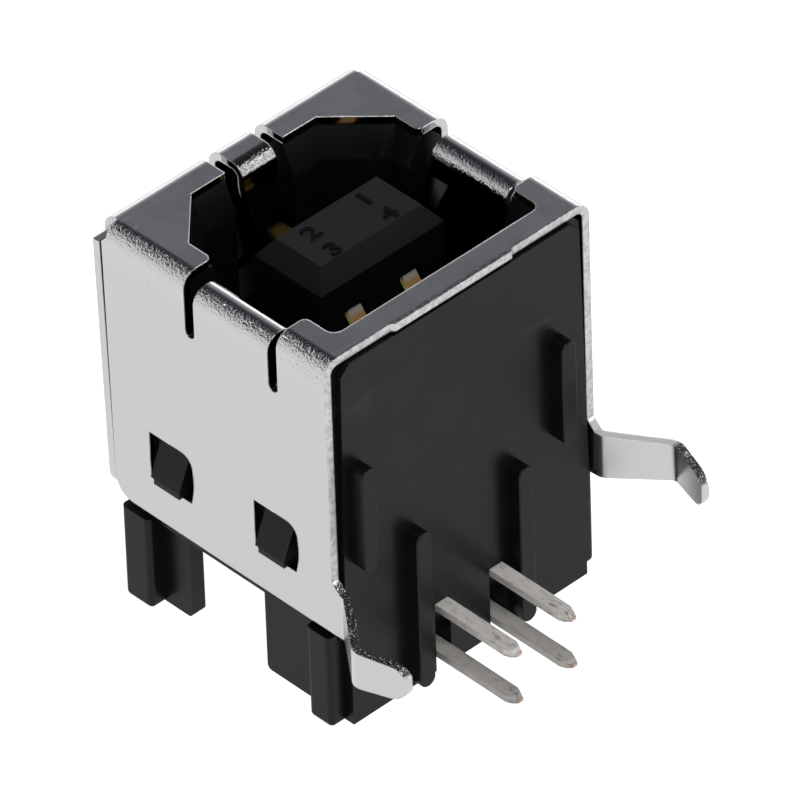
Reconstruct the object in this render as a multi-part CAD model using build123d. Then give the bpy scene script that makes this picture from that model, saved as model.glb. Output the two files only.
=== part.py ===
from build123d import *
import os

# A square board socket for a two-row plug, in millimetres.
# It stands on its back end with the mouth up: +Z is the way out of the mouth and -Y is the board side.
# The pieces are drawn about the mating axis, the middle of the tongue. At the end they are moved
# along Y so that the origin is the middle of the overall box, in the plane of the feet.

# Folded sheet shell
SHEET = 0.30
BEND_INSIDE = 0.30
SHELL_WIDTH = 12.00
SHELL_HEIGHT = 11.00
SHELL_DEPTH = 11.35
TOTAL_DEPTH = 15.55
AXIS_TO_BOARD_EDGE = 5.10
CORNER_ROUND = 0.80
CORNER_GAP = 0.13
EDGE_TAPER = 0.14
RELIEF_WIDTH = 0.55
RELIEF_STEP = 0.22
EAR_DROP = 0.12
FAR_LEAN = 0.26
TAB_LENGTH = 5.50
TAB_OFFSET = -0.25
TAB_REACH = 0.12

# Mouth in the front of the shell
MOUTH_WIDTH = 9.34
MOUTH_HEIGHT = 8.70
MOUTH_LIP = 0.90
MOUTH_CORNER = 1.85
MOUTH_ROUND = 0.40
SLOT_MOUTH_ROUND = 0.25

# Spring fingers rolled in from the shell walls
SIDE_FINGER_WIDTH = 3.50
SIDE_FINGER_OFFSET = -0.65
SIDE_SLOT = 0.45
SIDE_FINGER_DROP = 0.42
SIDE_GRIP_INSET = 2.15
TOP_FINGER_WIDTH = 1.52
TOP_SLOT = 0.55
TOP_ROLL_OVERHANG = 0.30
TOP_GRIP_INSET = 1.65
SLOT_DEPTH = 2.48
ROLL_FLAT = 0.03
KNEE_DEPTH = 0.90
KNEE_RADIUS = 1.20
GRIP_DEPTH = 3.90
CURL_LENGTH = 0.75
CURL_BACK = 0.30

# Latch windows in the side walls
WINDOW = 1.97
WINDOW_PITCH = 5.02
WINDOW_OFFSET = 0.10
WINDOW_RISE = 1.66
WINDOW_ROUND = 0.50
WINDOW_BOW = 0.13

# Board legs cut from the side walls
LEG_ROOT = 1.85
LEG_NECK = 1.50
LEG_TIP = 1.30
LEG_LENGTH = 4.45
LEG_STRAIGHT = 0.55
LEG_KINK = 1.53
LEG_KINK_REACH = 2.55
LEG_RETURN = 0.60
LEG_BEND = 0.45
LEG_FILLET = 0.35

# Moulded housing
SEAT_CLEARANCE = 0.05
FACE_PROUD = 0.14
FACE_STEP = 0.26
FACE_GAP = 0.12
FACE_TAPER = 0.20
FAR_CUT = 1.10
FRONT_CHAMFER = 0.38
CAVITY_WIDTH = 8.45
CAVITY_HEIGHT = 7.78
LEAD_IN = 1.10
CAVITY_DEPTH = 9.00
BODY_BACK = 3.60
BODY_LAP = 0.60
FINGER_POCKET_DEPTH = 4.80

# Tongue that carries the contacts
TONGUE_WIDTH = 5.60
TONGUE_HEIGHT = 3.18
TONGUE_BEHIND_MOUTH = 0.30
TONGUE_BEVEL = 0.53
TONGUE_BEVEL_DEPTH = 0.70

# Latches on the housing
LATCH_WIDTH = 1.37
LATCH_PROUD = 0.28
LATCH_LIP = 0.23
LATCH_NOTCH = 0.15
LATCH_CLEARANCE = 0.14

# Back skirt with its feet
SKIRT_INSET = 0.60
SKIRT_WALL = 0.60
BOARD_WALL = 1.20
POST_PROUD = 0.08
POST_GAP = 0.34
NEAR_POST = 1.10
NEAR_POST_STEP = 0.34
FAR_POST = 1.30
FAR_POST_INSET = 0.19
NOTCH_WIDTH = 3.64
NOTCH_FROM_BOARD = 4.14
NOTCH_ROUND = 0.20
POST_ROUND = 0.20

# Ribs on the board side
RIB_WIDTH = 0.67
RIB_PROUD = 0.60
RIB_ROUND = 0.06
LONG_RIB_TOP = 6.85
LONG_RIB_FOOT = 0.25
LONG_RIB_LEFT = -2.52
LONG_RIB_RIGHT = 2.16
SHORT_RIB_TOP = 10.95
SHORT_RIB_FOOT = 6.65
SHORT_RIB_LEFT = -4.85
SHORT_RIB_RIGHT = 4.25

# Stamped contacts
CONTACT_WIDTH = 0.58
CONTACT_THICK = 0.28
CONTACT_PITCH = 2.50
CONTACT_BEND = 0.22
CONTACT_TIP_DEPTH = 2.30
CONTACT_CREST_DEPTH = 3.15
CONTACT_FLAT_DEPTH = 5.00
CONTACT_TUCK = 0.20
CONTACT_BOW = 0.48
GROOVE_CLEARANCE = 0.04
POCKET_CLEARANCE = 0.10
POCKET_SIDE = 0.25
PIN_CLEARANCE = 0.06
TAIL_REACH = 3.80
UPPER_TAIL = 2.69
ROW_PITCH = 2.00
TIP_TAPER = 0.45
TIP_NARROW = 0.18
TIP_THIN = 0.08

# Places that follow from the sizes above
HALF = SHELL_WIDTH / 2
BOARD_EDGE = -AXIS_TO_BOARD_EDGE
FAR_FACE = BOARD_EDGE + SHELL_HEIGHT
SHELL_BACK = TOTAL_DEPTH - SHELL_DEPTH
FLANGE_UNDER = TOTAL_DEPTH - SHEET
BEND_OUTSIDE = BEND_INSIDE + SHEET
BEND_MIDDLE = BEND_INSIDE + SHEET / 2
WALL_TOP = TOTAL_DEPTH - BEND_OUTSIDE
SIDE_END = FAR_FACE - SHEET - CORNER_GAP
SIDE_BEND_END = SIDE_END - RELIEF_STEP
MOUTH_NEAR = BOARD_EDGE + MOUTH_LIP
MOUTH_FAR = MOUTH_NEAR + MOUTH_HEIGHT
MOUTH_MIDDLE = (MOUTH_NEAR + MOUTH_FAR) / 2
SIDE_GRIP = SHELL_WIDTH - 2 * SIDE_GRIP_INSET
TOP_GRIP = MOUTH_FAR - TOP_GRIP_INSET
SLOT_FOOT = TOTAL_DEPTH - SLOT_DEPTH
GRIP_LEVEL = TOTAL_DEPTH - GRIP_DEPTH
WINDOW_FOOT = SHELL_BACK + WINDOW_RISE
WINDOW_MIDDLES = [WINDOW_OFFSET - WINDOW_PITCH / 2, WINDOW_OFFSET + WINDOW_PITCH / 2]
BODY_SIDE = HALF - SHEET - SEAT_CLEARANCE
BODY_NEAR = BOARD_EDGE - FACE_PROUD
BODY_FAR = FAR_FACE - FAR_LEAN - SHEET - SEAT_CLEARANCE
BODY_FRONT = FLANGE_UNDER - SEAT_CLEARANCE
CAVITY_FLOOR = TOTAL_DEPTH - CAVITY_DEPTH
TONGUE_TOP = TOTAL_DEPTH - TONGUE_BEHIND_MOUTH
SKIRT_SIDE = HALF - SKIRT_INSET
SKIRT_TOP = BODY_BACK + BODY_LAP
POST_SIDE = HALF + POST_PROUD
POST_TOP = SHELL_BACK - POST_GAP
CONTACT_BACK = TONGUE_HEIGHT / 2 - CONTACT_THICK
CONTACT_MIDDLE = TONGUE_HEIGHT / 2 - CONTACT_THICK / 2
TAIL_END = BOARD_EDGE - TAIL_REACH
OVERRUN = 1.00
ALMOST = 0.98
TINY = 0.01


def block(x0, x1, y0, y1, z0, z1):
    """A box between two corners."""
    size = Box(x1 - x0, y1 - y0, z1 - z0)
    return Pos((x0 + x1) / 2, (y0 + y1) / 2, (z0 + z1) / 2) * size


def mirrored(part):
    """A part joined with its mirror image across the middle plane."""
    return part + mirror(part, about=Plane.YZ)


def plate(outline, thickness):
    """A sketch given a thickness along its normal."""
    return extrude(outline, amount=thickness)


def strip(points, radii, thickness):
    """The section of a bent strip: a thickness laid evenly about a path with rounded corners."""
    return trace(FilletPolyline(*points, radius=radii), line_width=thickness)


def mouth_outline(width, height, corner, round_near):
    """The mouth shape: a rectangle with its two far corners cut off and its near ones rounded."""
    half = width / 2
    near = MOUTH_MIDDLE - height / 2
    far = MOUTH_MIDDLE + height / 2
    points = [(-half, near), (half, near), (half, far - corner), (half - corner, far),
              (corner - half, far), (-half, far - corner)]
    outline = make_face(Polyline(*points, close=True))
    near_corners = outline.vertices().sort_by(Axis.Y)[:2]
    return fillet(near_corners, round_near)


def side_wall():
    """The +X wall up to its bend, with the cut-back ear at its far top corner."""
    ear = WALL_TOP - EAR_DROP
    points = [(BOARD_EDGE, SHELL_BACK), (SIDE_END - EDGE_TAPER, SHELL_BACK), (SIDE_END, ear),
              (SIDE_BEND_END, WALL_TOP), (BOARD_EDGE, WALL_TOP)]
    outline = make_face(Polyline(*points, close=True))
    far_foot = outline.vertices().group_by(Axis.Y)[0].sort_by(Axis.X)[-1]
    outline = fillet(far_foot, CORNER_ROUND)
    return Pos(HALF - SHEET, 0, 0) * plate(Plane.YZ * outline, SHEET)


def far_middle(level):
    """Where the middle of the +Y wall's sheet is at a level: the wall leans in towards its foot."""
    front = TOTAL_DEPTH - SHEET / 2
    return FAR_FACE - SHEET / 2 - FAR_LEAN * (front - level) / (front - SHELL_BACK)


def far_wall():
    """The +Y wall with its bend, folded down from the flange and leaning in."""
    front = TOTAL_DEPTH - SHEET / 2
    low = SHELL_BACK - SHEET
    points = [(SIDE_BEND_END - SHEET, front), (far_middle(front), front), (far_middle(low), low)]
    section = strip(points, [BEND_MIDDLE], SHEET)
    sheet = Pos(-HALF, 0, 0) * plate(Plane.YZ * section, SHELL_WIDTH)
    return sheet & far_outline()


def far_outline():
    """The front view of the +Y wall, as a cutter: cut back beside its bend, with round lower corners."""
    shoulder = WALL_TOP - RELIEF_STEP
    bend = HALF - RELIEF_WIDTH
    high = TOTAL_DEPTH + OVERRUN
    points = [(-HALF, SHELL_BACK), (HALF, SHELL_BACK), (HALF, shoulder), (bend, shoulder), (bend, high),
              (-bend, high), (-bend, shoulder), (-HALF, shoulder)]
    outline = make_face(Polyline(*points, close=True))
    outline = fillet(outline.vertices().sort_by(Axis.Y)[:2], CORNER_ROUND)
    return Pos(0, FAR_FACE + OVERRUN, 0) * plate(Plane.XZ * outline, FAR_FACE + OVERRUN - MOUTH_MIDDLE)


def front_channel():
    """The flange with its two side bends, as one bent strip."""
    wall = HALF - SHEET / 2
    front = TOTAL_DEPTH - SHEET / 2
    low = WALL_TOP - SHEET
    points = [(-wall, low), (-wall, front), (wall, front), (wall, low)]
    section = strip(points, [BEND_MIDDLE, BEND_MIDDLE], SHEET)
    length = SIDE_BEND_END - BOARD_EDGE
    return Pos(0, SIDE_BEND_END, 0) * plate(Plane.XZ * section, length)


def board_tab():
    """The stub left on the flange where the blank was cut from its strip."""
    half = TAB_LENGTH / 2
    points = [(-half, 0), (TAB_REACH - half, -TAB_REACH), (half - TAB_REACH, -TAB_REACH), (half, 0)]
    outline = make_face(Polyline(*points, close=True))
    return Pos(TAB_OFFSET, BOARD_EDGE, FLANGE_UNDER) * plate(outline, SHEET)


def slot_cut(width):
    """The cutter for one finger slot in a +X wall, with a round foot, centred on Y."""
    height = SLOT_DEPTH + OVERRUN
    outline = SlotOverall(height, width, rotation=90)
    cutter = plate(Plane.YZ * outline, HALF + OVERRUN - MOUTH_WIDTH / 2)
    return Pos(MOUTH_WIDTH / 2, 0, SLOT_FOOT + height / 2) * cutter


def finger(foot, wall, blade, crest, grip, width):
    """A spring finger of a +X wall: up the wall, over a rolled crest, in to its grip, then back out."""
    points = [(foot, SLOT_FOOT), (wall, crest), (blade, crest), (blade, crest - KNEE_DEPTH),
              (grip, GRIP_LEVEL), (grip + CURL_BACK, GRIP_LEVEL - CURL_LENGTH)]
    section = strip(points, [BEND_MIDDLE, BEND_MIDDLE, KNEE_RADIUS, 2 * SHEET], SHEET)
    return Pos(0, width / 2, 0) * plate(Plane.XZ * section, width)


def side_finger():
    """The finger of the +X wall, rolled tight and a little lower than the flange."""
    wall = HALF - SHEET / 2
    blade = wall - 2 * BEND_MIDDLE - ROLL_FLAT
    crest = TOTAL_DEPTH - SIDE_FINGER_DROP - SHEET / 2
    grip = SIDE_GRIP / 2 + SHEET / 2
    return Pos(0, SIDE_FINGER_OFFSET, 0) * finger(wall, wall, blade, crest, grip, SIDE_FINGER_WIDTH)


def top_finger():
    """The finger of the +Y wall, level with the flange and rolled a little inside the mouth."""
    foot = far_middle(SLOT_FOOT)
    crest = TOTAL_DEPTH - SHEET / 2
    blade = MOUTH_FAR - TOP_ROLL_OVERHANG + SHEET / 2
    grip = TOP_GRIP + SHEET / 2
    return Rot(0, 0, 90) * finger(foot, far_middle(crest), blade, crest, grip, TOP_FINGER_WIDTH)


def leg():
    """The board leg of the +X wall: straight out, kinked outward, then back in to a round tip."""
    wall = HALF - SHEET / 2
    kink = (wall + LEG_KINK, BOARD_EDGE - LEG_KINK_REACH)
    tip = (wall + LEG_KINK - LEG_RETURN, BOARD_EDGE - LEG_LENGTH)
    points = [(wall, BOARD_EDGE + SHEET), (wall, BOARD_EDGE - LEG_STRAIGHT), kink, tip]
    section = strip(points, [LEG_BEND, LEG_BEND], SHEET)
    blade = Pos(0, 0, SHELL_BACK - OVERRUN) * plate(section, LEG_ROOT + 3 * OVERRUN)
    return blade & leg_side()


def leg_side():
    """The side view of the leg and of its root in the wall edge, as a cutter."""
    root_top = SHELL_BACK + LEG_ROOT
    neck_foot = SHELL_BACK + (LEG_ROOT - LEG_NECK) / 2
    neck_top = neck_foot + LEG_NECK
    kink = BOARD_EDGE - LEG_KINK_REACH
    tip = BOARD_EDGE - LEG_LENGTH
    narrowing = (LEG_NECK - LEG_TIP) / 2
    points = [(BOARD_EDGE + SHEET, SHELL_BACK), (BOARD_EDGE, SHELL_BACK), (kink, neck_foot),
              (tip, neck_foot + narrowing), (tip, neck_top - narrowing), (kink, neck_top),
              (BOARD_EDGE - LEG_FILLET, root_top), (BOARD_EDGE, root_top + LEG_FILLET),
              (BOARD_EDGE + SHEET, root_top + LEG_FILLET)]
    outline = make_face(Polyline(*points, close=True))
    ends = outline.vertices().sort_by(Axis.X)[:2]
    outline = fillet(ends, LEG_TIP / 2 * ALMOST)
    return plate(Plane.YZ * outline, 2 * HALF)


def windows():
    """The cutters for the latch windows of the +X wall, each with one round corner and a bowed edge."""
    half = WINDOW / 2
    straight = Polyline((-half, -half), (half, -half), (half, half), (-half, half))
    bowed = ThreePointArc((-half, half), (-half - WINDOW_BOW, 0), (-half, -half))
    outline = make_face(straight + bowed)
    near_top = outline.vertices().group_by(Axis.Y)[-1].sort_by(Axis.X)[0]
    outline = fillet(near_top, WINDOW_ROUND)
    cutter = Pos(HALF - SHEET - OVERRUN, 0, 0) * plate(Plane.YZ * outline, SHEET + 2 * OVERRUN)
    level = WINDOW_FOOT + WINDOW / 2
    return Part() + [Pos(0, middle, level) * cutter for middle in WINDOW_MIDDLES]


def front_opening():
    """All that is open in the flange: the mouth, room for the side fingers, and the top slots."""
    mouth = mouth_outline(MOUTH_WIDTH, MOUTH_HEIGHT, MOUTH_CORNER, MOUTH_ROUND)
    side_reach = SIDE_FINGER_WIDTH + 2 * SIDE_SLOT
    side = Pos(0, SIDE_FINGER_OFFSET) * Rectangle(SHELL_WIDTH + OVERRUN, side_reach)
    top_reach = TOP_FINGER_WIDTH + 2 * TOP_SLOT
    top_height = FAR_FACE + OVERRUN - MOUTH_MIDDLE
    top = Pos(0, MOUTH_MIDDLE + top_height / 2) * Rectangle(top_reach, top_height)
    outline = mouth + side + top
    side_mouths = [v for v in outline.vertices() if abs(abs(v.X) - MOUTH_WIDTH / 2) < TINY
                   and abs(abs(v.Y - SIDE_FINGER_OFFSET) - side_reach / 2) < TINY]
    return fillet(side_mouths, SLOT_MOUTH_ROUND)


def side_slots():
    """The two slots beside the side finger."""
    cutter = slot_cut(SIDE_SLOT)
    step = SIDE_FINGER_WIDTH / 2 + SIDE_SLOT / 2
    return Part() + [Pos(0, SIDE_FINGER_OFFSET + side * step, 0) * cutter for side in (-1, 1)]


def top_slot():
    """The slot on the +X side of the top finger, through the flange and down the +Y wall."""
    height = SLOT_DEPTH + OVERRUN
    outline = SlotOverall(height, TOP_SLOT, rotation=90)
    cutter = plate(Plane.XZ * outline, FAR_FACE + OVERRUN - MOUTH_MIDDLE)
    across = TOP_FINGER_WIDTH / 2 + TOP_SLOT / 2
    return Pos(across, FAR_FACE + OVERRUN, SLOT_FOOT + height / 2) * cutter


def shield_shell():
    """The whole shell: one sheet, pierced, rolled and folded back from its front flange."""
    half = side_wall() + leg()
    shell = mirrored(half) + far_wall() + front_channel() + board_tab()
    shell -= Pos(0, 0, FLANGE_UNDER - OVERRUN) * plate(front_opening(), SHEET + 2 * OVERRUN)
    shell -= mirrored(windows() + side_slots() + top_slot())
    return shell + mirrored(side_finger()) + top_finger()


def cavity():
    """The plug space: a tapered lead-in under the flange, then a straight bore to the floor."""
    shrink = (MOUTH_WIDTH - CAVITY_WIDTH) / 2
    corner = MOUTH_CORNER - shrink * (2 - 2 ** 0.5)
    lead_foot = BODY_FRONT - LEAD_IN
    wide = mouth_outline(MOUTH_WIDTH, MOUTH_HEIGHT, MOUTH_CORNER, MOUTH_ROUND)
    narrow = mouth_outline(CAVITY_WIDTH, CAVITY_HEIGHT, corner, MOUTH_ROUND)
    lead = loft([Pos(0, 0, BODY_FRONT) * wide, Pos(0, 0, lead_foot) * narrow])
    bore = Pos(0, 0, CAVITY_FLOOR) * plate(narrow, lead_foot - CAVITY_FLOOR)
    return lead + bore


def finger_pockets():
    """Room behind the three fingers, open to the shell walls."""
    low = BODY_FRONT - FINGER_POCKET_DEPTH
    reach = SIDE_FINGER_WIDTH / 2 + SIDE_SLOT
    side = block(MOUTH_WIDTH / 4, HALF, SIDE_FINGER_OFFSET - reach, SIDE_FINGER_OFFSET + reach,
                 low, TOTAL_DEPTH)
    across = TOP_FINGER_WIDTH / 2 + TOP_SLOT
    top = block(-across, across, MOUTH_MIDDLE, FAR_FACE, low, TOTAL_DEPTH)
    return mirrored(side) + top


def tongue():
    """The tongue with its bevelled front."""
    shoulder = TONGUE_TOP - TONGUE_BEVEL_DEPTH
    base = Rectangle(TONGUE_WIDTH, TONGUE_HEIGHT)
    front = Rectangle(TONGUE_WIDTH - 2 * TONGUE_BEVEL, TONGUE_HEIGHT - 2 * TONGUE_BEVEL)
    stem = Pos(0, 0, CAVITY_FLOOR - SHEET) * plate(base, shoulder - CAVITY_FLOOR + SHEET)
    return stem + loft([Pos(0, 0, shoulder) * base, Pos(0, 0, TONGUE_TOP) * front])


def contact_grooves():
    """Grooves down both faces of the tongue, deeper behind the springs, carried on through the floor."""
    middle = CONTACT_PITCH / 2
    half = CONTACT_WIDTH / 2 + GROOVE_CLEARANCE
    open_side = TONGUE_HEIGHT / 2 + GROOVE_CLEARANCE
    tip = TOTAL_DEPTH - CONTACT_TIP_DEPTH + POCKET_CLEARANCE
    flat = TOTAL_DEPTH - CONTACT_FLAT_DEPTH
    pocket_back = CONTACT_BACK - CONTACT_TUCK - POCKET_CLEARANCE
    groove = block(middle - half, middle + half, CONTACT_BACK, open_side, BODY_BACK - OVERRUN, tip)
    wide = CONTACT_WIDTH / 2 + POCKET_SIDE
    groove += block(middle - wide, middle + wide, pocket_back, open_side, flat, tip)
    return mirrored(groove + mirror(groove, about=Plane.XZ))


def latches():
    """The wedges of the +X side: a ramp from the front, a lip, and a face that stops the shell."""
    foot = WINDOW_FOOT + LATCH_CLEARANCE
    top = WINDOW_FOOT + WINDOW - LATCH_CLEARANCE
    proud = HALF + LATCH_PROUD
    inside = BODY_SIDE - SHEET
    points = [(inside, foot), (proud, foot), (proud, foot + LATCH_LIP), (BODY_SIDE, top), (inside, top)]
    wedge = plate(Plane.XZ * make_face(Polyline(*points, close=True)), LATCH_WIDTH)
    wedge -= block(BODY_SIDE, proud + OVERRUN, -LATCH_NOTCH, OVERRUN, foot - OVERRUN, foot + LATCH_LIP)
    return Part() + [Pos(0, middle + LATCH_WIDTH / 2, 0) * wedge for middle in WINDOW_MIDDLES]


def post(inner, near, far):
    """A corner post of the skirt, soft along its outer edges and round its foot."""
    body = block(inner, POST_SIDE, near, far, 0, POST_TOP)
    outer = body.faces().sort_by(Axis.X)[-1].edges()
    foot = body.faces().sort_by(Axis.Z)[0].edges().filter_by(Axis.X)
    return fillet(outer.filter_by(Axis.Z) + outer.sort_by(Axis.Z)[:1] + foot, POST_ROUND)


def foot_edges(wall):
    """The lower edges of a wall that run across it, from the board side to the far side."""
    return wall.edges().filter_by(Axis.X).group_by(Axis.Z)[0].sort_by(Axis.Y)


def skirt():
    """The +X half of the back skirt: side wall with its notch, board wall and two posts."""
    notch_near = BODY_NEAR + NOTCH_FROM_BOARD
    notch_far = notch_near + NOTCH_WIDTH
    post_near = BODY_NEAR + NEAR_POST_STEP
    post_far = BODY_FAR - FAR_POST_INSET
    inner = SKIRT_SIDE - SKIRT_WALL
    top = SKIRT_TOP
    near_wall = block(inner, SKIRT_SIDE, BODY_NEAR, notch_near, 0, top)
    near_wall = fillet(foot_edges(near_wall)[-1], NOTCH_ROUND)
    far_wall_foot = block(inner, SKIRT_SIDE, notch_far, post_far - FAR_POST / 2, 0, top)
    far_wall_foot = fillet(foot_edges(far_wall_foot)[0], NOTCH_ROUND)
    board_wall = block(0, SKIRT_SIDE, BODY_NEAR, BODY_NEAR + BOARD_WALL, 0, top)
    posts = post(inner, post_near, post_near + NEAR_POST) + post(inner, post_far - FAR_POST, post_far)
    return near_wall + far_wall_foot + board_wall + posts


def rib(across, foot, top):
    """A rib standing on the board face, with a rounded head and foot and a soft front."""
    height = top - foot
    outline = SlotOverall(height, RIB_WIDTH, rotation=90)
    bar = plate(Plane.XZ * outline, RIB_PROUD + SHEET)
    bar = fillet(bar.faces().sort_by(Axis.Y)[0].edges(), RIB_ROUND)
    return Pos(across, BODY_NEAR + SHEET, foot + height / 2) * bar


def pin_slots():
    """The two slots in the board wall that the tails drop into from the back."""
    middle = CONTACT_PITCH / 2
    half = CONTACT_WIDTH / 2 + PIN_CLEARANCE
    top = UPPER_TAIL + CONTACT_THICK / 2 + PIN_CLEARANCE
    slot = block(middle - half, middle + half, BODY_NEAR - OVERRUN, BODY_NEAR + BOARD_WALL + OVERRUN,
                 -OVERRUN, top)
    return mirrored(slot)


def body_block():
    """The body inside the shell: front corners cut back for the bends, far back corner cut away."""
    near = BODY_NEAR + FACE_STEP
    body = block(-BODY_SIDE, BODY_SIDE, near, BODY_FAR, BODY_BACK, BODY_FRONT)
    front_edges = body.edges().group_by(Axis.Z)[-1]
    body = chamfer(front_edges.filter_by(Axis.Y) + front_edges.sort_by(Axis.Y)[-1:], FRONT_CHAMFER)
    far_back = body.edges().group_by(Axis.Z)[0].sort_by(Axis.Y)[-1]
    return chamfer(far_back, FAR_CUT)


def board_face():
    """The face on the board side, proud between the shell's side walls and a little wider to the back."""
    top = FLANGE_UNDER - FACE_GAP
    corner = SKIRT_SIDE - FRONT_CHAMFER
    foot = SKIRT_SIDE + FACE_TAPER
    points = [(-foot, SKIRT_TOP), (foot, SKIRT_TOP), (SKIRT_SIDE, top - FRONT_CHAMFER), (corner, top),
              (-corner, top), (-SKIRT_SIDE, top - FRONT_CHAMFER)]
    outline = make_face(Polyline(*points, close=True))
    face = plate(Plane.XZ * outline, FACE_STEP + SHEET)
    return Pos(0, BODY_NEAR + FACE_STEP + SHEET, 0) * face


def housing():
    """The whole moulding: body, tongue, latches, skirt, posts and ribs."""
    body = body_block() + board_face() - cavity() - finger_pockets()
    body += mirrored(latches() + skirt())
    for across in (LONG_RIB_LEFT, LONG_RIB_RIGHT):
        body += rib(across, LONG_RIB_FOOT, LONG_RIB_TOP)
    for across in (SHORT_RIB_LEFT, SHORT_RIB_RIGHT):
        body += rib(across, SHORT_RIB_FOOT, SHORT_RIB_TOP)
    body += tongue()
    return body - contact_grooves() - pin_slots()


def contact(row, level):
    """One contact: bowed spring, straight shank, then a tail bent to the board side.

    row is +1 or -1 for the side of the tongue; level is the height of the tail.
    """
    tip = TOTAL_DEPTH - CONTACT_TIP_DEPTH
    crest = TOTAL_DEPTH - CONTACT_CREST_DEPTH
    flat = TOTAL_DEPTH - CONTACT_FLAT_DEPTH
    shank = row * CONTACT_MIDDLE
    bow = row * (CONTACT_MIDDLE + CONTACT_BOW)
    tucked = row * (CONTACT_MIDDLE - CONTACT_TUCK)
    points = [(tucked, tip), (bow, crest), (shank, flat), (shank, level), (TAIL_END, level)]
    spring = 2 * CONTACT_THICK
    tail_bend = CONTACT_BEND + CONTACT_THICK / 2
    section = strip(points, [spring, spring, tail_bend], CONTACT_THICK)
    blade = plate(Plane.YZ * section, CONTACT_WIDTH)
    blade = Pos(-CONTACT_WIDTH / 2, 0, 0) * blade
    tail = blade.faces().sort_by(Axis.Y)[0]
    blade = chamfer(tail.edges().filter_by(Axis.Z), TIP_NARROW, TIP_TAPER, reference=tail)
    tail = blade.faces().sort_by(Axis.Y)[0]
    return chamfer(tail.edges().filter_by(Axis.X), TIP_THIN, TIP_TAPER / 2, reference=tail)


def contacts():
    """The four contacts by number, seen into the mouth: 2 and 1 far, 3 and 4 near the board."""
    near = contact(-1, UPPER_TAIL)
    far = contact(1, UPPER_TAIL - ROW_PITCH)
    across = CONTACT_PITCH / 2
    return {
        "contact_1": Pos(across, 0, 0) * far,
        "contact_2": Pos(-across, 0, 0) * far,
        "contact_3": Pos(-across, 0, 0) * near,
        "contact_4": Pos(across, 0, 0) * near,
    }


def main():
    """Writes each piece to its own STEP file."""
    os.makedirs("parts", exist_ok=True)
    pieces = {"shield_shell": shield_shell(), "housing": housing()}
    pieces.update(contacts())
    middle = (FAR_FACE + BOARD_EDGE - LEG_LENGTH) / 2
    for name, piece in pieces.items():
        export_step(Pos(0, -middle, 0) * piece, f"parts/{name}.step")


main()
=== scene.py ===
import math
from types import SimpleNamespace

import bmesh
import bpy
import numpy as np
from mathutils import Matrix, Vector


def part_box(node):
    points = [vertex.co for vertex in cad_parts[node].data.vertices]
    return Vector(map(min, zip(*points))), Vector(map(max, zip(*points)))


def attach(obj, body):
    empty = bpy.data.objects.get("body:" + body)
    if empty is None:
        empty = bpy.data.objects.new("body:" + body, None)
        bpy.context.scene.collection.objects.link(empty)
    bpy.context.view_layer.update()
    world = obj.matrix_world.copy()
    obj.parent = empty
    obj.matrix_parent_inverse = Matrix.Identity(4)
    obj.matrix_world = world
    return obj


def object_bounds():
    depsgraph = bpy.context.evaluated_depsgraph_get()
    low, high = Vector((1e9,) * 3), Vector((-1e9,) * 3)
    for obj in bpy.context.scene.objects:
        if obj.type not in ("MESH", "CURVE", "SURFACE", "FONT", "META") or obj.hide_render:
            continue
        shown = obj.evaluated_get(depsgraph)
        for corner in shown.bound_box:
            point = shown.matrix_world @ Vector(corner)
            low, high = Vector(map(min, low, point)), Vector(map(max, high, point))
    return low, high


bl_info = {
    "name": "Square board socket",
    "version": (1, 0, 0),
    "blender": (4, 5, 0),
    "location": "View3D > Sidebar > Socket",
    "description": "Finishes, moulded numerals, stage and camera around the packed socket",
    "category": "Object",
}

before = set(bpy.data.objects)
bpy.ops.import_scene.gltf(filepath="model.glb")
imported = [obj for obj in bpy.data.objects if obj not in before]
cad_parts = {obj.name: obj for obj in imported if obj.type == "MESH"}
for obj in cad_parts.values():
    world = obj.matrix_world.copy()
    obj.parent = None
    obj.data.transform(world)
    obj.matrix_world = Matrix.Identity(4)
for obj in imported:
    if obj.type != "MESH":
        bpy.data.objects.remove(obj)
CAD_BOX = [list(corner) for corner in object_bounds()]
MM = 0.001
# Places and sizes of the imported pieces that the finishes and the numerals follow
RIB_HEIGHT = 0.60 * MM
FACE_PROUD = 0.14 * MM
BOARD_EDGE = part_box("housing")[0].y + RIB_HEIGHT + FACE_PROUD
SHELL_TOP = CAD_BOX[1][2]
TONGUE_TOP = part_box("housing")[1].z
TAIL_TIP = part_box("contact_4")[0].y
LEGS_TOP = 9.0 * MM
LEG_KINK = BOARD_EDGE - 2.54 * MM
BEND_FOOT = SHELL_TOP - 1.35 * MM
BEND_TOP = SHELL_TOP - 0.65 * MM
SIDE_BLADES = (3.4 * MM, 5.5 * MM)
SIDE_BLADES_END = 3.5 * MM
TOP_FINGER_HALF = 0.80 * MM
TOP_CREST = (4.0 * MM, 6.65 * MM)
SLOTS_SIDE = 3.0 * MM
CAVITY_HALF = 4.9 * MM
CAVITY_NEAR = -2.3 * MM
CAVITY_FOOT = 4.2 * MM
SPRING_FOOT = 5.0 * MM
SPRING_TIP = 13.12 * MM
LOWER_TAILS_TOP = 1.95 * MM
ROWS_BORDER = 1.8 * MM


# Node graphs

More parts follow.
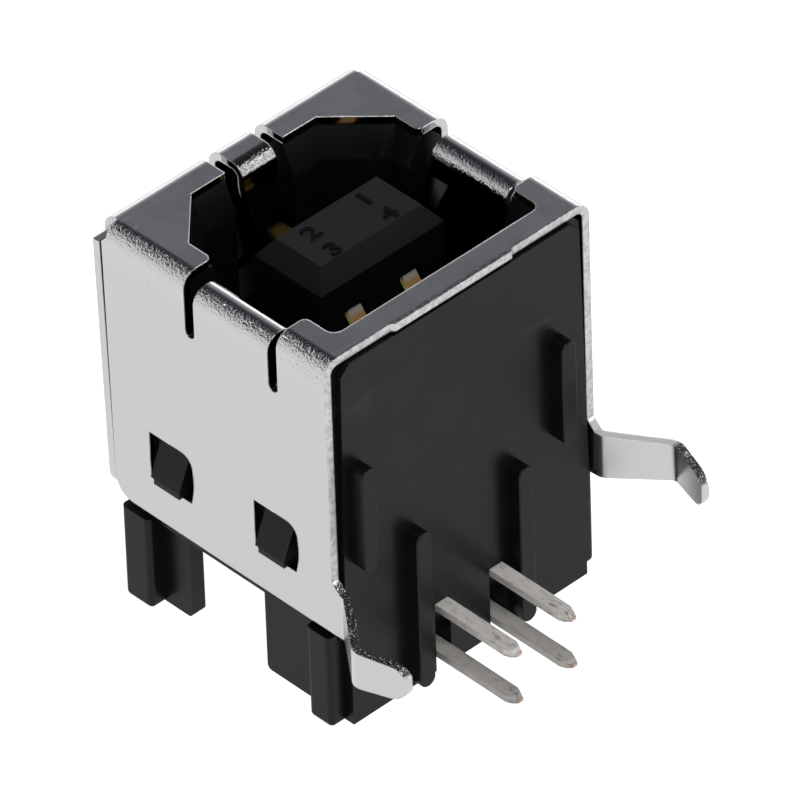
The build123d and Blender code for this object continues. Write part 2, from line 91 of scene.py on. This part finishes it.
class Number:
    """A number in a node graph. Plain arithmetic on it adds the Math nodes that do the sum."""

    def __init__(self, graph, socket):
        self.graph = graph
        self.socket = socket

    def _sum(self, operation, *terms, clamp=False):
        settings = {"operation": operation, "use_clamp": clamp}
        node = self.graph.node("ShaderNodeMath", settings, dict(enumerate(terms)))
        return Number(self.graph, node.outputs[0])

    def __add__(self, other):
        return self._sum("ADD", self, other)

    def __sub__(self, other):
        return self._sum("SUBTRACT", self, other)

    def __mul__(self, other):
        return self._sum("MULTIPLY", self, other)

    def __rsub__(self, other):
        return self._sum("SUBTRACT", other, self)

    def __neg__(self):
        return self._sum("MULTIPLY", self, -1.0)

    def __abs__(self):
        return self._sum("ABSOLUTE", self)

    __radd__ = __add__
    __rmul__ = __mul__

    def larger(self, other):
        return self._sum("MAXIMUM", self, other)

    def rises(self, start, end):
        """0 at start, 1 at end, straight between them and held beyond them."""
        return self._sum("MULTIPLY", self - start, 1.0 / (end - start), clamp=True)

    def between(self, low, high, low_border, high_border):
        """1 between two limits and 0 outside them, with a border of its own inside each limit."""
        return self.rises(low, low + low_border) * self.rises(high, high - high_border)


class Graph:
    """The node graph of one material or of the world."""

    def __init__(self, owner):
        owner.use_nodes = True
        self.tree = owner.node_tree
        self.tree.nodes.clear()

    def node(self, kind, settings=None, values=None):
        """Adds a node of a type: its settings first, then the values or links of its sockets."""
        made = self.tree.nodes.new(kind)
        for name, setting in (settings or {}).items():
            if name == "stops":
                self._stops(made.color_ramp, setting)
            else:
                setattr(made, name, setting)
        for name, value in (values or {}).items():
            socket = made.inputs[name]
            value = value.socket if isinstance(value, Number) else value
            if isinstance(value, bpy.types.NodeSocket):
                self.tree.links.new(value, socket)
            elif socket.type == "RGBA" and len(value) == 3:
                socket.default_value = (*value, 1.0)
            else:
                socket.default_value = value
        return made

    @staticmethod
    def _stops(ramp, stops):
        for place, _ in stops[2:]:
            ramp.elements.new(place)
        for element, (place, grey) in zip(ramp.elements, sorted(stops)):
            element.position = place
            element.color = (*grey, 1.0) if isinstance(grey, tuple) else (grey, grey, grey, 1.0)

    def place(self):
        """The object coordinates, as a vector."""
        return self.node("ShaderNodeTexCoord").outputs["Object"]

    def outward(self):
        """Which way the surface looks, before any relief, as a vector."""
        return self.node("ShaderNodeNewGeometry").outputs["Normal"]

    def split(self, vector):
        """The three numbers of a vector."""
        node = self.node("ShaderNodeSeparateXYZ", None, {0: vector})
        return [Number(self, output) for output in node.outputs]

    def stretched(self, vector, scale, turn=0.0):
        """A vector turned about Z and scaled by axis: a pattern is drawn out where a scale is small."""
        values = {"Vector": vector, "Scale": scale, "Rotation": (0.0, 0.0, turn)}
        return self.node("ShaderNodeMapping", None, values).outputs[0]

    def scratches(self, vector, turn, spacing):
        """Sparse hair lines: 1 where a drawn-out field passes its middle, in patches, else 0."""
        middle, line, border = 0.5, 0.010, 0.006
        drawn = self.noise(self.stretched(vector, (0.05, 1.0, 1.0), turn), spacing, 1.0)
        patches = self.noise(vector, 3.0 * spacing, 1.0).rises(0.52, 0.62)
        return (line - abs(drawn - middle)).rises(0.0, border) * patches

    def noise(self, vector, size, detail=2.0, roughness=0.5):
        """A soft random field from 0 to 1 whose cells are about size metres across."""
        values = {"Vector": vector, "Scale": 1.0 / size, "Detail": detail, "Roughness": roughness}
        return Number(self, self.node("ShaderNodeTexNoise", None, values).outputs[0])

    def specks(self, vector, size, share):
        """Sparse round dots: 1 at the middle of a cell, for about that share of the cell's reach."""
        values = {"Vector": vector, "Scale": 1.0 / size}
        cell = Number(self, self.node("ShaderNodeTexVoronoi", None, values).outputs["Distance"])
        return cell.rises(share, share * 0.5)

    def blend(self, mask, first, second):
        """The first colour where the mask is 0 and the second where it is 1."""
        colours = [c if isinstance(c, bpy.types.NodeSocket) else (*c, 1.0) for c in (first, second)]
        settings = {"data_type": "RGBA", "clamp_factor": True}
        return self.node("ShaderNodeMix", settings, {0: mask, 6: colours[0], 7: colours[1]}).outputs[2]

    def soft_edge(self, radius):
        """The surface normal with its sharp edges eased over a radius."""
        return self.node("ShaderNodeBevel", {"samples": 4}, {"Radius": radius}).outputs[0]

    def relief(self, height, depth, strength, normal):
        """The normal of a surface that the height raises by up to depth metres."""
        values = {"Height": height, "Distance": depth, "Strength": strength, "Normal": normal}
        return self.node("ShaderNodeBump", None, values).outputs[0]

    def surface(self, values):
        """The main shader and the material's output."""
        shader = self.node("ShaderNodeBsdfPrincipled", None, values)
        self.node("ShaderNodeOutputMaterial", None, {"Surface": shader.outputs[0]})


def material(name):
    """A new material and its graph."""
    made = bpy.data.materials.new(name)
    return made, Graph(made)


# Finishes

def shaded(colour, share):
    """A colour made darker, or paler where the share is over 1."""
    return [part * share for part in colour]


def sheet_zones(graph, place):
    """Masks of the shell's zones, by where a point lies and which way its face looks."""
    across, along, up = graph.split(place)
    looks_across, looks_along, looks_up = graph.split(graph.outward())
    aside, to_board = abs(across), -looks_along
    front = looks_up.rises(0.90, 0.98)

    # cut edges: round the board side, and along the legs
    legs = along.rises(BOARD_EDGE, BOARD_EDGE - 0.10 * MM) * up.rises(LEGS_TOP + 1.0 * MM, LEGS_TOP)
    board_side = along.rises(BOARD_EDGE + 0.26 * MM, BOARD_EDGE + 0.06 * MM)
    board_cut = to_board.rises(0.90, 0.98) * board_side * (1 - legs)
    leg_cut = abs(looks_up).rises(0.35, 0.60) * legs
    burred = across.rises(0.0, -1.0 * MM).larger(along.rises(LEG_KINK + 0.1 * MM, LEG_KINK - 0.1 * MM))

    # the bends, without what is flat, cut, or turned away to the far side and to +X
    slot_sides = abs(looks_across).rises(0.90, 0.99) * aside.rises(SLOTS_SIDE, SLOTS_SIDE - 0.5 * MM)
    upright = to_board.rises(0.30, 0.60) * abs(looks_up).rises(0.12, 0.04)
    plain = to_board.rises(0.75, 0.98).larger(upright).larger(legs).larger(slot_sides)
    plain = plain.larger(looks_across.rises(0.05, 0.30)).larger(looks_along.rises(0.05, 0.30))
    rolled = aside.rises(SIDE_BLADES[1], SIDE_BLADES[1] - 0.15 * MM)
    bends = abs(looks_up).rises(0.995, 0.93) * up.rises(BEND_FOOT, BEND_TOP) * (1 - plain)

    # the fingers, darkened with painted shade: the blades of the side ones inside the mouth, and the crest
    # of the top one
    shaded_blades = aside.between(*SIDE_BLADES, 0.2 * MM, 0.2 * MM) * up.rises(BEND_FOOT + 0.4 * MM, BEND_FOOT)
    shaded_crest = aside.rises(TOP_FINGER_HALF, TOP_FINGER_HALF - 0.02 * MM)
    shaded_crest = shaded_crest * along.between(*TOP_CREST, 0.5 * MM, 0.3 * MM)
    shaded_crest = shaded_crest * up.rises(BEND_FOOT, BEND_FOOT + 0.3 * MM)
    return SimpleNamespace(
        front=front,
        legs=legs,
        sheared=board_cut + leg_cut,
        slanted=to_board.rises(0.30, 0.60),
        burred=burred,
        ragged=front * along.rises(BOARD_EDGE + 0.11 * MM, BOARD_EDGE + 0.01 * MM),
        bends=bends * (1 - 0.55 * rolled),
        shaded_blades=shaded_blades * along.rises(SIDE_BLADES_END, SIDE_BLADES_END - 0.3 * MM),
        shaded_crest=shaded_crest)


def sheet_fields(graph, place):
    """The random fields of the plating, each with cells of its own size."""
    return SimpleNamespace(
        peel=graph.noise(place, 0.085 * MM, 1.0),
        waves=graph.noise(place, 1.6 * MM, 1.0),
        torn=graph.noise(graph.stretched(place, (0.6, 1.0, 0.6)), 0.11 * MM, 3.0, 0.6),
        grain=graph.noise(place, 0.07 * MM, 2.0, 0.6),
        stain=graph.noise(place, 1.4 * MM, 4.0, 0.6),
        pits=graph.specks(place, 1.1 * MM, 0.040),
        dots=graph.specks(graph.stretched(place, (1.3, 1.1, 1.2)), 0.8 * MM, 0.035),
        lines=graph.scratches(place, math.radians(38.0), 0.9 * MM))


def flat_colours(graph, zones, fields, colour):
    """The plating off the cut edges: stains, pits, bright dots and hair lines.

    It is ragged and dark beside the flange's cut edge, and darkened with painted shade on the top finger's
    crest.
    """
    stains = fields.stain.rises(0.40, 0.65) * zones.front
    bright = (fields.dots * 0.7 + fields.lines * 0.28) * zones.front
    colours = graph.blend(stains, colour, shaded(colour, 0.84))
    colours = graph.blend(fields.pits * 0.35, colours, shaded(colour, 0.50))
    colours = graph.blend(bright, colours, (0.95, 0.95, 0.97))
    colours = graph.blend(zones.ragged * fields.torn.rises(0.40, 0.55), colours, shaded(colour, 0.45))
    # painted shade on the top finger's crest, which dims its reflection
    return graph.blend(zones.shaded_crest, colours, shaded(colour, 0.62))


def cut_colours(graph, zones, fields, colour):
    """The sheared edges: torn grey round the board side; on the legs burred dark, and elsewhere pale with
    a painted highlight, but in painted shade where they slant towards the board.
    """
    torn = graph.blend(fields.torn.rises(0.42, 0.60), shaded(colour, 1.06), shaded(colour, 0.74))
    burr = graph.blend(fields.grain.rises(0.57, 0.64), shaded(colour, 0.10), shaded(colour, 1.80))
    # painted highlight on the legs' cut edges, and painted shade where they slant towards the board
    lit_and_shaded_cut = graph.blend(zones.slanted, shaded(colour, 1.75), shaded(colour, 0.70))
    return graph.blend(zones.legs, torn, graph.blend(zones.burred, lit_and_shaded_cut, burr))


def sheet_finish(colour):
    """Bright plated sheet: near mirror on its flats, torn rough on its sheared edges.

    Round the front bends the plating is stretched into orange peel, which fades out down the walls.
    """
    made, graph = material("plated_sheet")
    place = graph.place()
    zones = sheet_zones(graph, place)
    fields = sheet_fields(graph, place)
    flats = flat_colours(graph, zones, fields, colour)
    colours = graph.blend(zones.sheared, flats, cut_colours(graph, zones, fields, colour))
    burrs = fields.grain * zones.legs * zones.burred * 1.3
    wavy = graph.relief(fields.waves, 0.003 * MM, 0.4, graph.soft_edge(0.08 * MM))
    nicked = graph.relief((fields.torn + burrs) * zones.sheared, 0.015 * MM, 0.6, wavy)
    matt = zones.sheared.larger(zones.legs * 0.55)
    graph.surface({
        # painted shade on the side fingers' blades inside the mouth
        "Base Color": graph.blend(zones.shaded_blades, colours, shaded(colour, 0.12)),
        "Metallic": 1.0 - 0.35 * zones.sheared,
        "Roughness": 0.08 + 0.16 * fields.stain * zones.front + 0.28 * matt,
        "Normal": graph.relief(fields.peel * zones.bends, 0.055 * MM, 1.0, nicked),
    })
    return made


def moulding_finish(colour):
    """Black moulding: a fine matt body under a skin that shines most on the tongue, least deep inside."""
    made, graph = material("black_moulding")
    place = graph.place()
    across, along, up = graph.split(place)
    looks_up = graph.split(graph.outward())[2]
    inside = abs(across).rises(CAVITY_HALF + 0.3 * MM, CAVITY_HALF)
    inside = inside * along.rises(CAVITY_NEAR - 0.4 * MM, CAVITY_NEAR)
    inside = inside * up.rises(CAVITY_FOOT, CAVITY_FOOT + 0.2 * MM)
    tongue = looks_up.rises(0.85, 0.97) * up.rises(TONGUE_TOP - 1.2 * MM, TONGUE_TOP - 0.8 * MM)
    skin = graph.noise(place, 0.06 * MM, 3.0, 0.6)
    shine = graph.noise(place, 1.8 * MM, 3.0)
    dust = graph.specks(place, 0.55 * MM, 0.04) * graph.noise(place, 2.2 * MM, 1.0).rises(0.52, 0.66)
    lines = graph.scratches(place, math.radians(-20.0), 1.6 * MM)
    colours = graph.blend(shine.rises(0.3, 0.7), colour, shaded(colour, 1.35))
    graph.surface({
        "Base Color": graph.blend(dust * 0.35 + lines * 0.05, colours, (0.12, 0.12, 0.12)),
        "Roughness": 0.34 + 0.12 * shine + 0.04 * skin,
        "Specular IOR Level": 0.0,
        "Coat Weight": 0.36 - 0.21 * inside + 0.52 * tongue,
        "Coat Roughness": 0.30,
        "Normal": graph.relief(skin, 0.003 * MM, 0.5, graph.soft_edge(0.05 * MM)),
    })
    return made


def contact_zones(graph, place):
    """Masks of a contact's zones: spring, near row, bare tip, lower tail in painted shade, cut end, worn
    tail, -X side.
    """
    _, along, up = graph.split(place)
    looks_across = graph.split(graph.outward())[0]
    near = along.rises(ROWS_BORDER + 0.2 * MM, ROWS_BORDER - 0.2 * MM)
    return SimpleNamespace(
        sprung=up.rises(SPRING_FOOT, SPRING_FOOT + 1.0 * MM),
        near=near,
        bare=near * up.rises(SPRING_TIP - 0.14 * MM, SPRING_TIP),
        lower=up.rises(LOWER_TAILS_TOP, LOWER_TAILS_TOP - 0.35 * MM),
        cut=along.rises(TAIL_TIP + 0.10 * MM, TAIL_TIP + 0.01 * MM),
        worn=0.25 + 0.75 * along.rises(TAIL_TIP + 1.6 * MM, TAIL_TIP + 0.5 * MM),
        side=(-looks_across).rises(0.50, 0.90))


def contact_finish(gilt, tinned, copper):
    """Gilt springs and tinned tails, with tool marks along the tails and bare copper at their cut ends."""
    made, graph = material("contact_metal")
    place = graph.place()
    zones = contact_zones(graph, place)
    drawn = graph.noise(graph.stretched(place, (1.0, 0.15, 1.0)), 0.05 * MM, 3.0)
    blotch = graph.noise(graph.stretched(place, (1.0, 0.45, 1.0)), 0.22 * MM, 4.0, 0.65)
    marks = blotch.rises(0.55, 0.64) * zones.worn * (1 - zones.sprung)
    # painted shade on the -X faces, and darker random blotches
    shaded_side_and_blotches = zones.side * 0.55 + blotch.rises(0.42, 0.62) * 0.16
    # the colours of the painted shade on the near row's springs and of the painted highlight on the
    # springs' -X faces
    shadowed, pale = (0.30, 0.17, 0.07), (1.0, 0.78, 0.30)
    # painted shade on the lower tails, under the upper ones
    colours = graph.blend(zones.lower, tinned, shaded(tinned, 0.56))
    colours = graph.blend(shaded_side_and_blotches, colours, shaded(tinned, 0.20))
    colours = graph.blend(zones.sprung, colours, gilt)
    colours = graph.blend(zones.near * zones.sprung * 0.75, colours, shadowed)
    colours = graph.blend(zones.bare, colours, shaded(tinned, 0.42))
    # painted highlight on the springs' -X faces
    colours = graph.blend(zones.side * zones.sprung, colours, pale)
    colours = graph.blend(marks * 0.8, colours, shaded(tinned, 0.16))
    relief = (drawn + blotch) * (1 - 0.85 * zones.sprung)
    graph.surface({
        "Base Color": graph.blend(zones.cut * 0.7, colours, copper),
        "Metallic": 0.35 + zones.sprung * (0.20 - 0.35 * zones.side),
        "Roughness": 0.46 - 0.16 * zones.sprung + 0.12 * blotch,
        "Normal": graph.relief(relief, 0.005 * MM, 0.7, graph.soft_edge(0.04 * MM)),
    })
    return made


def numeral_finish():
    """The moulding's black with hardly any shine, so that the numerals are darker than the tongue."""
    made, graph = material("numeral_black")
    skin = graph.noise(graph.place(), 0.05 * MM, 2.0)
    graph.surface({
        "Base Color": graph.blend(skin, (0.0015, 0.0015, 0.0015), (0.003, 0.003, 0.003)),
        "Roughness": 0.45 + 0.1 * skin,
        "Specular IOR Level": 0.03,
        "Normal": graph.relief(skin, 0.002 * MM, 0.4, graph.soft_edge(0.01 * MM)),
    })
    return made


def dress(names, finish):
    """Gives the finish to every material slot of the named nodes."""
    for name in names:
        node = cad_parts[name]
        if not node.material_slots:
            raise RuntimeError(f"{name} has no material slot")
        for slot in node.material_slots:
            slot.material = finish


# Settings

class SocketFinishes(bpy.types.PropertyGroup):
    """Colours of the socket's three materials."""

    sheet: bpy.props.FloatVectorProperty(
        name="Plated sheet", description="Colour of the shell's plating",
        default=(0.488, 0.478, 0.470), subtype="COLOR", size=3, min=0.0, max=1.0)
    moulding: bpy.props.FloatVectorProperty(
        name="Moulding", description="Colour of the moulded housing",
        default=(0.0032, 0.0030, 0.0033), subtype="COLOR", size=3, min=0.0, max=1.0)
    gilt: bpy.props.FloatVectorProperty(
        name="Gilt", description="Colour of the contact springs",
        default=(0.80, 0.46, 0.14), subtype="COLOR", size=3, min=0.0, max=1.0)
    tinned: bpy.props.FloatVectorProperty(
        name="Tin", description="Colour of the contact tails",
        default=(0.80, 0.765, 0.72), subtype="COLOR", size=3, min=0.0, max=1.0)
    copper: bpy.props.FloatVectorProperty(
        name="Copper", description="Colour of the bare cut ends of the tails",
        default=(0.30, 0.17, 0.12), subtype="COLOR", size=3, min=0.0, max=1.0)


class SocketNumerals(bpy.types.PropertyGroup):
    """Sizes of the numerals on the tongue."""

    height: bpy.props.FloatProperty(
        name="Height", description="Height of one numeral",
        default=0.66 * MM, min=0.2 * MM, max=2.0 * MM, unit="LENGTH")
    width: bpy.props.FloatProperty(
        name="Width", description="How far the numerals are widened from the plain letter form",
        default=1.30, min=0.5, max=2.0)
    proud: bpy.props.FloatProperty(
        name="Proud", description="How far the numerals stand above the tongue",
        default=0.03 * MM, min=0.005 * MM, max=0.1 * MM, unit="LENGTH")


class SocketStudio(bpy.types.PropertyGroup):
    """The camera, and the floor that glows."""

    lens: bpy.props.FloatProperty(
        name="Lens", description="Focal length of the camera",
        default=593.708, min=20.0, max=2000.0, unit="CAMERA")
    camera_place: bpy.props.FloatVectorProperty(
        name="Camera place", description="Where the camera stands",
        default=(-0.227126, -0.247367, 0.284513), subtype="TRANSLATION", size=3)
    camera_turn: bpy.props.FloatVectorProperty(
        name="Camera turn", description="The camera's rotation",
        default=(math.radians(50.5878), math.radians(1.5784), math.radians(-43.8937)),
        subtype="EULER", size=3)
    floor_radius: bpy.props.FloatProperty(
        name="Floor radius", description="Reach of the pale floor",
        default=3.0, min=0.5, max=20.0, unit="LENGTH")
    floor_glow: bpy.props.FloatProperty(
        name="Floor glow", description="Light that the floor gives off by itself",
        default=0.97, min=0.0, max=2.0)


# Operators

class SOCKET_OT_finish_shell(bpy.types.Operator):
    """Give the folded shell its plated finish"""

    bl_idname = "socket.finish_shell"
    bl_label = "Finish the shell"

    def execute(self, context):
        dress(["shield_shell"], sheet_finish(tuple(context.scene.socket_finishes.sheet)))
        return {"FINISHED"}


class SOCKET_OT_finish_housing(bpy.types.Operator):
    """Give the housing its moulded finish"""

    bl_idname = "socket.finish_housing"
    bl_label = "Finish the housing"

    def execute(self, context):
        dress(["housing"], moulding_finish(tuple(context.scene.socket_finishes.moulding)))
        return {"FINISHED"}


class SOCKET_OT_finish_contacts(bpy.types.Operator):
    """Give the four contacts their gilt springs and tinned tails"""

    bl_idname = "socket.finish_contacts"
    bl_label = "Finish the contacts"

    def execute(self, context):
        colours = context.scene.socket_finishes
        finish = contact_finish(tuple(colours.gilt), tuple(colours.tinned), tuple(colours.copper))
        dress(["contact_1", "contact_2", "contact_3", "contact_4"], finish)
        return {"FINISHED"}


class SOCKET_OT_add_numerals(bpy.types.Operator):
    """Raise the contact numbers on the front of the tongue"""

    bl_idname = "socket.add_numerals"
    bl_label = "Add the numerals"

    # the numeral and the place of its middle on the tongue, in millimetres
    PLACES = {"1": (1.18, 2.325), "2": (-1.28, 2.295), "3": (-1.34, 1.175), "4": (1.19, 1.195)}
    # how far a stroke grows, as a share of the font's size, and how close points are welded
    STROKE_GROWTH = 0.019
    WELD = 0.0005 * MM

    def execute(self, context):
        sizes = context.scene.socket_numerals
        merged = bmesh.new()
        for text, (across, along) in self.PLACES.items():
            curve = bpy.data.curves.new("numeral_" + text, "FONT")
            curve.body = text
            curve.extrude = 1.0
            curve.offset = self.STROKE_GROWTH
            curve.resolution_u = 6
            writer = bpy.data.objects.new("numeral_" + text, curve)
            context.scene.collection.objects.link(writer)
            context.view_layer.update()
            mesh = bpy.data.meshes.new_from_object(writer)
            bpy.data.objects.remove(writer)
            bpy.data.curves.remove(curve)
            points = np.empty(len(mesh.vertices) * 3, np.float32)
            mesh.vertices.foreach_get("co", points)
            mesh.vertices.foreach_set("co", self.stood(points.reshape(-1, 3), across, along, sizes))
            merged.from_mesh(mesh)
            bpy.data.meshes.remove(mesh)
        bmesh.ops.remove_doubles(merged, verts=merged.verts, dist=self.WELD)
        bmesh.ops.recalc_face_normals(merged, faces=merged.faces)
        mesh = bpy.data.meshes.new("tongue_numerals")
        merged.to_mesh(mesh)
        merged.free()
        numerals = bpy.data.objects.new("tongue_numerals", mesh)
        context.scene.collection.objects.link(numerals)
        mesh.materials.append(numeral_finish())
        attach(numerals, "root")
        return {"FINISHED"}

    @staticmethod
    def stood(points, across, along, sizes):
        """Scales a numeral to its height about its middle and lays it on the tongue.

        Each point is (point - middle) times height over drawn height, widened across, and moved to
        the numeral's place; its lower face is sunk by half of what its upper face stands proud.
        """
        low, high = points.min(0), points.max(0)
        scaled = (points - (low + high) / 2) * (sizes.height / (high[1] - low[1]))
        scaled[:, 0] *= sizes.width
        top = points[:, 2] > 0
        scaled[:, 0] += across * MM
        scaled[:, 1] += along * MM
        scaled[:, 2] = TONGUE_TOP + np.where(top, sizes.proud, -sizes.proud / 2)
        return scaled.astype(np.float32).ravel()


class SOCKET_OT_build_stage(bpy.types.Operator):
    """Lay the pale floor, light the studio and set up the camera"""

    bl_idname = "socket.build_stage"
    bl_label = "Build the stage"

    # the name, place, size and power of each lamp
    LAMPS = [
        ("right_softbox", (0.296, -0.302, 0.382), 0.22, 0.45),
        ("top_softbox", (-0.16, -0.24, 0.43), 0.20, 1.20),
    ]
    # how pale the room is, from the horizon at 0 to straight up at 1
    SKY = [(0.0, 1.0), (1.0, 0.02), (0.30, (0.96, 0.97, 1.0)), (0.45, (0.47, 0.485, 0.53)),
           (0.62, (0.262, 0.273, 0.310)), (0.74, (0.04, 0.042, 0.05))]
    # the floor's rings as shares of its radius, its depth under the feet, and what the lamps look at
    RINGS = [0.02, 0.2, 1.0]
    FLOOR_DROP = 0.01 * MM
    AIM = (0.0, 0.0, 8 * MM)

    def execute(self, context):
        studio = context.scene.socket_studio
        self.camera(context, studio)
        self.floor(context, studio)
        self.sky(context)
        for lamp in self.LAMPS:
            self.softbox(context, *lamp)
        context.scene.view_settings.view_transform = "Standard"
        return {"FINISHED"}

    @staticmethod
    def camera(context, studio):
        data = bpy.data.cameras.new("camera")
        data.sensor_width = 36.0
        data.lens = studio.lens
        data.clip_start = 0.01
        data.clip_end = 50.0
        camera = bpy.data.objects.new("camera", data)
        camera.location = studio.camera_place
        camera.rotation_euler = studio.camera_turn
        context.scene.collection.objects.link(camera)
        context.scene.camera = camera

    def floor(self, context, studio):
        """A flat disc: radius times (cos, sin) of the turn, on rings from the middle to the rim."""
        turns = np.linspace(0.0, 2 * np.pi, 49)[:-1]
        rings = np.array(self.RINGS)[:, None] * studio.floor_radius
        grid = np.stack([rings * np.cos(turns), rings * np.sin(turns), 0 * rings * turns], -1)
        points = np.concatenate([grid.reshape(-1, 3), [[0.0, 0.0, 0.0]]])
        points[:, 2] -= self.FLOOR_DROP
        count, middle = len(turns), len(points) - 1
        this, after = np.arange(count), (np.arange(count) + 1) % count
        quads = [np.stack([r + this, r + count + this, r + count + after, r + after], 1)
                 for r in (0, count)]
        faces = np.concatenate(quads).tolist() + [[middle, i, j] for i, j in zip(this, after)]
        mesh = bpy.data.meshes.new("floor")
        mesh.from_pydata(points.tolist(), [], faces)
        floor = bpy.data.objects.new("floor", mesh)
        context.scene.collection.objects.link(floor)
        made, graph = material("pale_floor")
        shade = graph.noise(graph.place(), 0.4, 2.0)
        tone = graph.blend(shade, (0.33, 0.33, 0.33), (0.37, 0.37, 0.37))
        graph.surface({
            "Base Color": tone,
            "Roughness": 0.9,
            "Specular IOR Level": 0.1,
            "Emission Color": (1.0, 1.0, 1.0, 1.0),
            "Emission Strength": studio.floor_glow,
        })
        mesh.materials.append(made)

    def sky(self, context):
        """A plain studio: pale walls that darken with height.

        They stay pale further up on the left, and glow low down on the right.
        """
        world = bpy.data.worlds.new("studio")
        context.scene.world = world
        graph = Graph(world)
        across, _, up = graph.split(graph.node("ShaderNodeTexCoord").outputs["Generated"])
        level = up - 0.11 * across.rises(0.20, -0.50)
        ramp = graph.node("ShaderNodeValToRGB", {"stops": self.SKY}, {0: level})
        glow = 1 + 1.4 * across.rises(0.30, 0.60) * up.rises(0.45, 0.28)
        light = graph.node("ShaderNodeBackground", None, {"Color": ramp.outputs[0], "Strength": glow})
        graph.node("ShaderNodeOutputWorld", None, {"Surface": light.outputs[0]})

    def softbox(self, context, name, place, size, power):
        """A square lamp that looks at the socket."""
        lamp = bpy.data.lights.new(name, "AREA")
        lamp.size = size
        lamp.energy = power
        box = bpy.data.objects.new(name, lamp)
        box.location = place
        aim = Vector(self.AIM) - Vector(place)
        box.rotation_euler = aim.to_track_quat("-Z", "Y").to_euler()
        context.scene.collection.objects.link(box)


class SOCKET_PT_panel(bpy.types.Panel):
    """Lists the steps that dress the socket, and their settings"""

    bl_label = "Square board socket"
    bl_idname = "SOCKET_PT_panel"
    bl_space_type = "VIEW_3D"
    bl_region_type = "UI"
    bl_category = "Socket"

    def draw(self, context):
        for step in STEPS:
            self.layout.operator(step.bl_idname)
        for name in GROUPS:
            group = getattr(context.scene, name)
            box = self.layout.box()
            for field in type(group).__annotations__:
                box.prop(group, field)


STEPS = [
    SOCKET_OT_build_stage,
    SOCKET_OT_finish_shell,
    SOCKET_OT_finish_housing,
    SOCKET_OT_finish_contacts,
    SOCKET_OT_add_numerals,
]
GROUPS = {
    "socket_finishes": SocketFinishes,
    "socket_numerals": SocketNumerals,
    "socket_studio": SocketStudio,
}


def register():
    for group in [*GROUPS.values(), *STEPS, SOCKET_PT_panel]:
        bpy.utils.register_class(group)
    for name, group in GROUPS.items():
        setattr(bpy.types.Scene, name, bpy.props.PointerProperty(type=group))


def unregister():
    for name in GROUPS:
        delattr(bpy.types.Scene, name)
    for group in reversed([*GROUPS.values(), *STEPS, SOCKET_PT_panel]):
        bpy.utils.unregister_class(group)


def main():
    register()
    bpy.ops.socket.build_stage()
    bpy.ops.socket.finish_shell()
    bpy.ops.socket.finish_housing()
    bpy.ops.socket.finish_contacts()
    bpy.ops.socket.add_numerals()
    bpy.context.view_layer.update()


if __name__ == "__main__":
    main()
